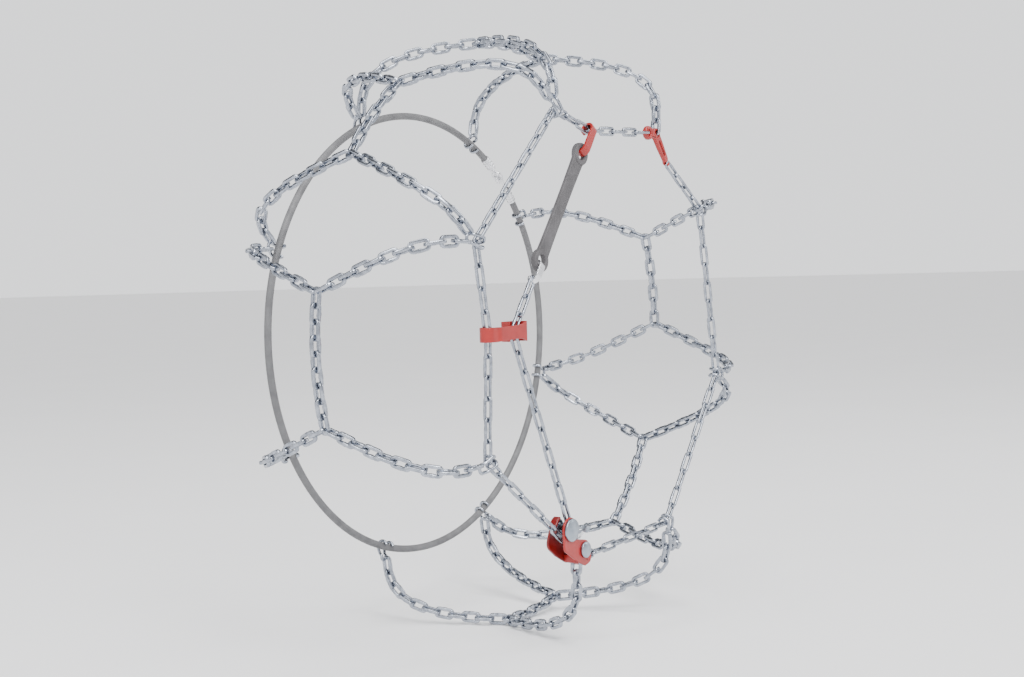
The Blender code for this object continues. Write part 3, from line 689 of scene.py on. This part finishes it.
def side_chain():
    """The outer side chain: straight runs of long links from corner to corner, and its wire hooks."""
    start = junction("b")
    wheel = face(tangent(WHEEL_AXIS, (start.x, start.z), WHEEL_PITCH_RADIUS, left=False))
    corners = {
        "lobe": face(CLOSING_LOBE),
        "strap": face(STRAP_HOOK_AT),
        "h": junction("h"),
        "a": junction("a"),
        "clip": face(GUIDE_CLIP_AT),
        "b": start,
        "wheel": wheel,
        "anchor": face(ANCHOR_AXIS),
        "d": junction("d"),
        "e": junction("e"),
        "f": junction("f"),
        "tip": face(CLOSING_TIP),
    }
    order = list(corners)
    runs = (
        ("lobe", "strap", ["side_chain_1"], 0.0036, 0.0),
        ("strap", "h", ["side_chain_2"], 0.0, 0.0),
        ("h", "a", ["side_chain_3"], 0.0, 0.0),
        ("a", "clip", ["side_chain_4"], 0.0, 0.0),
        ("clip", "b", [], 0.0, 0.0),
        ("b", "wheel", ["side_chain_5"], 0.0, -0.003),
        ("anchor", "d", ["side_chain_6"], -0.0026, 0.0),
        ("d", "e", ["side_chain_7"], 0.0, 0.0),
        ("e", "f", ["side_chain_8"], 0.0, 0.0),
        ("f", "tip", ["side_chain_9"], 0.0, 0.0016),
    )
    parity = 1
    for first, last, nodes, start_shift, end_shift in runs:
        if first == "anchor":
            parity = 0
        ahead = (corners[last] - corners[first]).normalized()
        begin = corners[first] + ahead * start_shift
        end = corners[last] - ahead * end_shift
        count = round((end - begin).length / SIDE_LINK["pitch"])
        if last == "tip":
            parity = (count - 1) % 2
        name = f"side_chain_{first}_{last}_links"
        step = 90 - 180 * parity
        straight_chain(name, begin, end, count, 90 * parity, SIDE_LINK, "zinc_steel", "net", nodes, step)
        parity = (parity + count) % 2
    chain_radius = 0.0044
    for letter in "abdefh":
        here = order.index(letter)
        centre = corners[letter]
        one = (corners[order[here - 1]] - centre).normalized()
        two = (corners[order[here + 1]] - centre).normalized()
        junction_hook(f"outer_hook_{letter}", centre, one, two, OUT, chain_radius)


# ---------------------------------------------------------------- the hoop cable


def hoop_cable():
    """The sleeved inner cable with its crimped ends, its eight hooks, and the hook and eye that close it."""
    angles = np.linspace(CABLE_GAP_DEG + CABLE_HALF_GAP, CABLE_GAP_DEG + 360 - CABLE_HALF_GAP, 220)
    path = [polar(JUNCTION_RADIUS, a, -FACE_HEIGHT) for a in angles]
    sleeve = 0.004
    wire("hoop_cable_sleeve", path, sleeve, "cable_sleeve", "net", ["hoop_cable"], smooth=0)
    for index, angle in enumerate((angles[0], angles[-1])):
        hand = 1 if index == 0 else -1
        turns = [angle + hand * step for step in np.linspace(-0.4, 4.2, 8)]
        ferrule = [polar(JUNCTION_RADIUS, turn, -FACE_HEIGHT) for turn in turns]
        wire(f"hoop_ferrule_{index + 1}", ferrule, 0.0048, "bright_steel", "net", smooth=0)
        for ring in (0.5, 1.6, 2.7, 3.6):
            turns = [angle + hand * (ring + step) for step in (0, 0.22)]
            band = [polar(JUNCTION_RADIUS, turn, -FACE_HEIGHT) for turn in turns]
            wire(f"hoop_crimp_{index + 1}_{int(ring * 10)}", band, 0.0053, "bright_steel", "net", smooth=0)
    for letter in JUNCTION_DEG:
        centre = junction(letter, 1)
        along = Vector((-centre.z, 0, centre.x)).normalized()
        junction_hook(f"inner_hook_{letter}", centre, along, -along, -OUT, sleeve)
    rod = 0.0021
    middle = polar(JUNCTION_RADIUS, CABLE_GAP_DEG, -FACE_HEIGHT)
    along = Vector((-middle.z, 0, middle.x)).normalized()
    radial = Vector((middle.x, 0, middle.z)).normalized()
    reach = JUNCTION_RADIUS * sin(radians(CABLE_HALF_GAP)) - 0.001
    sag = JUNCTION_RADIUS * (1 - cos(radians(CABLE_HALF_GAP)))
    ring = arc((0.005, 0), 0.0055, 20, 350, 16)
    eye = [middle + along * reach - radial * sag] + [middle + along * x - OUT * y for x, y in ring]
    wire("hoop_eye_wire", eye, rod, "bright_steel", "net", ["hoop_eye"])
    bend = arc((-0.0005, 0), 0.005, 150, -120, 12)
    hook = [middle - along * reach - radial * sag] + [middle + along * x + radial * y for x, y in bend]
    wire("hoop_hook_wire", hook, rod, "bright_steel", "net", ["hoop_hook"])


# ---------------------------------------------------------------- the tension line

STRAP_TOP = face(STRAP_HOOK_AT)
BEND = face(TENSION_BEND)
UPPER = (BEND - STRAP_TOP).normalized()
UPPER_LENGTH = (BEND - STRAP_TOP).length
WHEEL_TANGENT = face(tangent(WHEEL_AXIS, TENSION_BEND, WHEEL_PITCH_RADIUS, left=True))
LOWER = (WHEEL_TANGENT - BEND).normalized()
HOOK_BAR = UPPER_LENGTH - 3 * SIDE_LINK["pitch"]
LINE = (STRAP_TOP, UPPER, OUT)
STRAP_BLEND = [STRAP_TOP + UPPER * at for at in (STRAP_EYES[0] + 0.008, STRAP_EYES[1] - 0.008)]
STRAP_BODIES = ("net", "tension_pull", *STRAP_BLEND)


def strap_hook():
    """The red hook: its jaw holds the side chain, and its lower end goes through the strap's upper eye."""
    reach = 0.0062
    rim = STRAP_EYES[0] - EYE_TO_CURL
    path = arc((0, 0), reach, 300, 90, 20)
    path += [(rim * k / 8, reach) for k in range(1, 8)]
    path += arc((rim, 0), reach, 90, -120, 20)
    widths = [0.0070, 0.0088, 0.0092, 0.0094, 0.0100, 0.0104, 0.0104, 0.0098, 0.0088, 0.0080]
    strip("strap_hook_strip", path, widths, 0.0028, LINE, "red_front", "net", ["strap_hook"])


def dogbone(length, first_radius, second_radius, half_width, count=24):
    """The outline of two discs on a common axis, joined by a band."""
    one = np.degrees(np.arcsin(half_width / first_radius))
    two = np.degrees(np.arcsin(half_width / second_radius))
    left = arc((0, 0), first_radius, one, 360 - one, count)
    return left + arc((length, 0), second_radius, -180 + two, 180 - two, count)


def rubber_strap():
    """The flat rubber strap: its band is a little waisted, and a raised boss stands round each eye."""
    length = STRAP_EYES[1] - STRAP_EYES[0]
    start = STRAP_TOP + UPPER * STRAP_EYES[0]
    turn = np.arctan2(UPPER.z, UPPER.x)
    place = (start.x, start.z)
    round_end = STRAP_EYE_RADIUS - 0.0010
    along = np.linspace(0.0100, length - 0.0100, 24)
    top = [(x, STRAP_HALF_WIDTH + 0.0010 - 0.0016 * sin(pi * x / length) ** 0.6) for x in along]
    edge = top + arc((length, 0), round_end, 100, -100, 24)
    edge += [(x, -y) for x, y in reversed(top)] + arc((0, 0), round_end, 280, 80, 24)
    holes = [circle((0, 0), STRAP_HOLE), circle((length, 0), STRAP_HOLE)]
    band = STRAP_THICKNESS - 0.0012
    plate("rubber_strap_band", [edge, *holes], FACE_HEIGHT, band, "strap_rubber", STRAP_BODIES,
          ["rubber_strap"], place, turn, 0.0009)
    tube = (STRAP_EYE_RADIUS - STRAP_HOLE) / 2
    half = STRAP_THICKNESS / 2 + 0.0005
    for label, eye, body in (("top", STRAP_EYES[0], "net"), ("low", STRAP_EYES[1], "tension_pull")):
        centre = STRAP_TOP + UPPER * eye
        ring = []
        for t in np.linspace(pi, -pi, 41):
            across = np.sign(cos(t)) * abs(cos(t)) ** 0.45
            up = np.sign(sin(t)) * abs(sin(t)) ** 0.45
            ring.append((STRAP_HOLE + tube * (1 + across), FACE_HEIGHT + half * up))
        turned(f"strap_eye_{label}", ring, (centre.x, centre.z), "strap_rubber", body)


def tension_hook():
    """The bright hook between the strap's lower eye and the tension chain, narrower at its lower end."""
    reach = 0.0054
    rim = STRAP_EYES[1] + EYE_TO_CURL
    path = arc((rim, 0), reach, 265, 90, 16)
    path += [(rim + (HOOK_BAR - rim) * k / 6, reach) for k in range(1, 6)]
    path += arc((HOOK_BAR, 0), 0.0044, 90, -120, 16)
    widths = [0.0060, 0.0080, 0.0086, 0.0086, 0.0086, 0.0084, 0.0050, 0.0046, 0.0044]
    strip("tension_hook_strip", path, widths, 0.0022, LINE, "bright_steel", "tension_pull", ["tension_hook"])


def tension_chain():
    """The chain from the hook round the guide clip's bend to the wheel."""
    pitch = SIDE_LINK["pitch"]
    start = STRAP_TOP + UPPER * HOOK_BAR
    straight_chain("tension_links_upper", start, BEND, 3, 0, SIDE_LINK, "zinc_steel", "tension_pull",
                   ["tension_chain_upper"])
    turn = BEND + LOWER * pitch
    straight_chain("tension_link_bend", BEND, turn, 1, UPRIGHT, SIDE_LINK, "zinc_steel", "bend_link",
                   ["tension_link"])
    count = int(((WHEEL_TANGENT - BEND).length + HIDDEN_CHAIN) / pitch) - 1
    end = turn + LOWER * pitch * count
    straight_chain("tension_links_lower", turn, end, count, 0, SIDE_LINK, "zinc_steel", "tension_run",
                   ["tension_chain_lower"])


def guide_clip():
    """A folded strip: a round loop round the side chain, and a raised, flared one for the tension chain."""
    loop = 0.0073
    front = 0.0088
    corner = 0.003
    bend = BEND.x - GUIDE_CLIP_AT[0]
    path = arc((0, 0), loop, 315, 90, 22)
    path += [(0.004, loop), (0.0068, loop + 0.0003), (0.0084, front - 0.0004), (0.0105, front)]
    path += [(0.0105 + bend * k / 30, front) for k in range(1, 31)]
    path += arc((bend + 0.0105, front - corner), corner, 80, 0, 5)
    path += arc((bend + 0.0105, corner - loop), corner, 0, -90, 6)
    path += arc((bend - 0.0065, corner - loop), corner, -90, -180, 6)
    path += [(bend - 0.0095, 0.0035)]
    widths = [0.0145] * 6 + [0.0138] * 5 + [0.0150] + [0.0200] * 8
    lift = [0] * 6 + [-0.0003, -0.0006, -0.0009, -0.0012, -0.0014, -0.0016] + [-0.0016] * 8
    place = (face(GUIDE_CLIP_AT), Vector((1, 0, 0)), OUT)
    strip("guide_clip_strip", path, widths, 0.0018, place, "red_front", "net", ["guide_clip"], lift=lift)


# ---------------------------------------------------------------- the tensioner


def tensioner_plates():
    """The two plates, and the block at their foot with its cross pin."""
    holes = [circle(place, RIVET_HOLE) for place in (WHEEL_AXIS, PAWL_AXIS, ANCHOR_AXIS)]
    # The back plate takes red_back, the front plate's red darkened as painted shade for its set-back place
    plate("tensioner_back", [hull(BACK_DISCS), *holes], BACK_PLATE_HEIGHT, PLATE, "red_back", "net",
          ["tensioner_back_plate"])
    front = joined(FRONT_MIDDLE, [hull(FRONT_UPPER), hull(FRONT_LOWER)])
    plate("tensioner_front", [front, *holes], FRONT_PLATE_HEIGHT, PLATE, "red_front", "net",
          ["tensioner_front_plate"], edge=0.0008)
    base = BACK_PLATE_HEIGHT + PLATE / 2 - GAP
    slit_left, slit_right = FOOT_SLIT[0][0], FOOT_SLIT[1][0]
    halves = {
        "left": (FOOT_CORNERS[0], (slit_left, -0.2318), (slit_left, -0.2397), FOOT_CORNERS[3]),
        "right": ((slit_right, -0.2331), FOOT_CORNERS[1], FOOT_CORNERS[2], (slit_right, -0.2412)),
    }
    for label, corners in halves.items():
        plate(f"tensioner_foot_{label}", [corners], (base + FOOT_TOP) / 2, FOOT_TOP - base, "red_front",
              "net", edge=0.0006)
    pin = [face(place) for place in FOOT_PIN]
    wire("tensioner_foot_pin", pin, 0.0015, "bright_steel", "net", smooth=0)


def pawl_cap():
    """The turned cap on the end of the pawl's release stem."""
    sides = 32
    foot = face((PAWL_AXIS[0] + 0.0118, PAWL_AXIS[1] + 0.0078), 0.1227)
    cap = face((PAWL_AXIS[0] + 0.0125, PAWL_AXIS[1] + 0.0180))
    up = (cap - foot).normalized()
    lengths = (-0.0006, -0.0003, 0.0, 0.0052, 0.0068, 0.0078, 0.0081)
    radii = (0.0030, 0.0037, 0.0040, 0.0040, 0.0038, 0.0032, 0.0020)
    side = up.cross(Vector((1, 0, 0))).normalized()
    vertices = [cap + up * lengths[0]]
    for length, radius in zip(lengths, radii):
        for step in range(sides):
            turn = 2 * pi * step / sides
            outward = side * cos(turn) + up.cross(side) * sin(turn)
            vertices.append(cap + up * length + outward * radius)
    vertices.append(cap + up * lengths[-1])
    last = 1 + (len(radii) - 1) * sides
    faces = []
    for step in range(sides):
        after = (step + 1) % sides
        faces.append((0, 1 + after, 1 + step))
        for one in range(1, last, sides):
            two = one + sides
            faces.append((one + step, one + after, two + after, two + step))
        faces.append((len(vertices) - 1, last + step, last + after))
    finish_piece(mesh_object("pawl_cap", vertices, faces, 40), "grey_rivet", "pawl")


def tensioner_wall():
    """The wall round the wheel's left side, between the plates."""
    wall = arc(WHEEL_AXIS, 0.0142, 106, 192, 20) + arc(WHEEL_AXIS, 0.0112, 192, 106, 20)
    # The wall takes red_back, the front plate's red darkened as painted shade for the recess between the
    # plates
    plate("tensioner_wall", [wall], 0.1240, 0.0090, "red_back", "net", edge=0.0011)


def rivets():
    """The two rivets: a domed front head on a thick rim, the shaft, and a small rear head."""
    dome_of = (
        (0, 1),
        (0.2, 0.99),
        (0.4, 0.955),
        (0.58, 0.89),
        (0.72, 0.80),
        (0.82, 0.70),
        (0.865, 0.635),
        (0.885, 0.61),
        (0.93, 0.59),
        (0.97, 0.55),
        (0.993, 0.47),
        (1.0, 0.38),
        (1.0, 0.12),
        (0.985, 0.03),
        (0.96, 0.0),
    )
    base = FRONT_PLATE_HEIGHT + PLATE / 2 + GAP
    rear = BACK_PLATE_HEIGHT - PLATE / 2 - GAP
    rivet_sizes = (("wheel_rivet", WHEEL_AXIS, 0.0120, 0.0046), ("pawl_rivet", PAWL_AXIS, 0.0085, 0.0042))
    for name, place, radius, dome in rivet_sizes:
        profile = [(radius * share, base + dome * rise) for share, rise in dome_of]
        profile += [(RIVET_SHAFT, base), (RIVET_SHAFT, rear), (0.0046, rear), (0.0044, rear - 0.0009)]
        profile += [(0.0034, rear - 0.0014), (0, rear - 0.0016)]
        turned(f"{name}_head", profile, place, "grey_rivet", "net", [name])


# ---------------------------------------------------------------- the closing hook


def closing_hook():
    """The red closing hook: a thick head round its pivot hole, a slotted shank, and a curled tip."""
    across = Vector((CLOSING_EYE[0] - CLOSING_LOBE[0], CLOSING_EYE[1] - CLOSING_LOBE[1]))
    down = Vector((CLOSING_TIP[0] - CLOSING_EYE[0], CLOSING_TIP[1] - CLOSING_EYE[1]))
    turn = np.arctan2(down.y, down.x)
    body = "closing_lever"
    holes = [circle((x, 0), CLOSING_HOLE) for x in (0, across.length)]
    head = [dogbone(across.length, 0.0078, 0.0066, 0.0058), *holes]
    plate("closing_head", head, FACE_HEIGHT, 0.0062, "red_front", body, ["closing_hook"], CLOSING_LOBE,
          np.arctan2(across.y, across.x), 0.0022)
    reach = down.length
    slot = dogbone(0.0165, 0.0016, 0.0016, 0.00155, 8)
    slot = [(x + 0.0115, y) for x, y in slot]
    shank = hull([(0.004, 0, 0.0060), (0.016, 0, 0.0056), (reach - 0.006, 0, 0.0040)])
    plate("closing_shank", [shank, slot], FACE_HEIGHT, 0.0046, "red_front", body, (), CLOSING_EYE, turn,
          0.0012)
    along = Vector((cos(turn), 0, sin(turn)))
    tip = [(reach - 0.0085, -0.0010), (reach - 0.0050, -0.0018)]
    tip += arc((reach - 0.0014, 0.0006), 0.0030, 245, 400, 12)
    place = (face(CLOSING_EYE), along, OUT)
    strip("closing_tip", tip, [0.0064, 0.0056, 0.0050, 0.0046], 0.0022, place, "red_front", body)


# ---------------------------------------------------------------- studio


def paint_kept_nodes():
    """The CAD pieces that stay get their finished materials."""
    kept = {
        "tension_wheel": "zinc_steel",
        "locking_pawl": "bright_steel",
        "pawl_spring": "bright_steel",
        "anchor_pin": "red_front",
    }
    for name, slot in kept.items():
        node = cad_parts[name]
        if node.material_slots:
            node.material_slots[0].material = MATERIALS[slot]
        else:
            node.data.materials.append(MATERIALS[slot])


def floor():
    """A pale floor just under the chain."""
    low = CAD_BOX[0].z - 0.001
    size = 40.0
    corners = [(-size, -size, low), (size, -size, low), (size, size, low), (-size, size, low)]
    obj = mesh_object("studio_floor", corners, [(0, 1, 2, 3)])
    made, tree, shader = shader_of("studio_floor", 0.0, 0.8)
    pale = ramp(tree, noise(tree, 3), ((0.0, (0.88, 0.88, 0.89)), (1.0, (0.92, 0.92, 0.93))))
    tree.links.new(pale, shader.inputs["Base Color"])
    obj.data.materials.append(made)


def camera():
    """The view from the left of the wheel face, at a little above axle height."""
    azimuth, elevation, distance, roll = radians(-54.43), radians(2.13), 1.896, radians(-1.68)
    back = Vector((sin(azimuth) * cos(elevation), -cos(azimuth) * cos(elevation), sin(elevation)))
    level = (-back).cross(Vector((0, 0, 1))).normalized()
    upright = level.cross(-back)
    right = level * cos(roll) + upright * sin(roll)
    up = upright * cos(roll) - level * sin(roll)
    data = bpy.data.cameras.new("camera")
    data.sensor_width = 36
    data.lens = 59.28
    data.shift_x = 0.0036
    data.shift_y = -0.0061
    data.clip_end = 50
    obj = linked("camera", data)
    rows = [[right[k], up[k], back[k], back[k] * distance] for k in range(3)]
    obj.matrix_world = Matrix(rows + [[0, 0, 0, 1]])
    bpy.context.scene.camera = obj


def area_light(name, place, size, power):
    """A soft rectangular lamp that looks at the wheel's centre."""
    data = bpy.data.lights.new(name, "AREA")
    data.shape = "RECTANGLE"
    data.size, data.size_y = size
    data.energy = power
    obj = linked(name, data)
    obj.location = place
    obj.rotation_euler = (-Vector(place)).to_track_quat("-Z", "Y").to_euler()


def lights():
    """A pale room that darkens overhead, so that the metal has something to reflect, and soft lamps."""
    world = bpy.data.worlds.new("studio")
    world.use_nodes = True
    tree = world.node_tree
    place = tree.nodes.new("ShaderNodeTexCoord")
    split = tree.nodes.new("ShaderNodeSeparateXYZ")
    shades = tree.nodes.new("ShaderNodeValToRGB")
    stops = ((0.0, 1.0), (0.26, 1.0), (0.42, 0.17), (0.85, 0.10), (1.0, 0.32))
    while len(shades.color_ramp.elements) < len(stops):
        shades.color_ramp.elements.new(0.5)
    for element, (position, level) in zip(shades.color_ramp.elements, stops):
        element.position = position
        element.color = (level, level * 1.01, level * 1.03, 1)
    tree.links.new(place.outputs["Generated"], split.inputs["Vector"])
    tree.links.new(split.outputs["Z"], shades.inputs["Fac"])
    background = tree.nodes["Background"]
    tree.links.new(shades.outputs["Color"], background.inputs["Color"])
    background.inputs["Strength"].default_value = 1.5
    bpy.context.scene.world = world
    sun = bpy.data.lights.new("sky", "SUN")
    sun.energy = 3.3
    sun.angle = radians(50)
    linked("sky", sun).rotation_euler = (radians(20), radians(-15), 0)
    area_light("key", (-1.5, -2.3, 2.3), (0.9, 0.9), 75)
    area_light("left", (-2.6, 0.3, 1.5), (0.6, 1.4), 32)
    area_light("right", (2.2, -2.0, 1.7), (0.6, 1.4), 28)
    area_light("top", (0.2, 0.5, 3.0), (1.6, 1.6), 25)


net()
side_chain()
hoop_cable()
strap_hook()
rubber_strap()
tension_hook()
tension_chain()
guide_clip()
tensioner_plates()
pawl_cap()
tensioner_wall()
rivets()
closing_hook()
paint_kept_nodes()
floor()
camera()
lights()
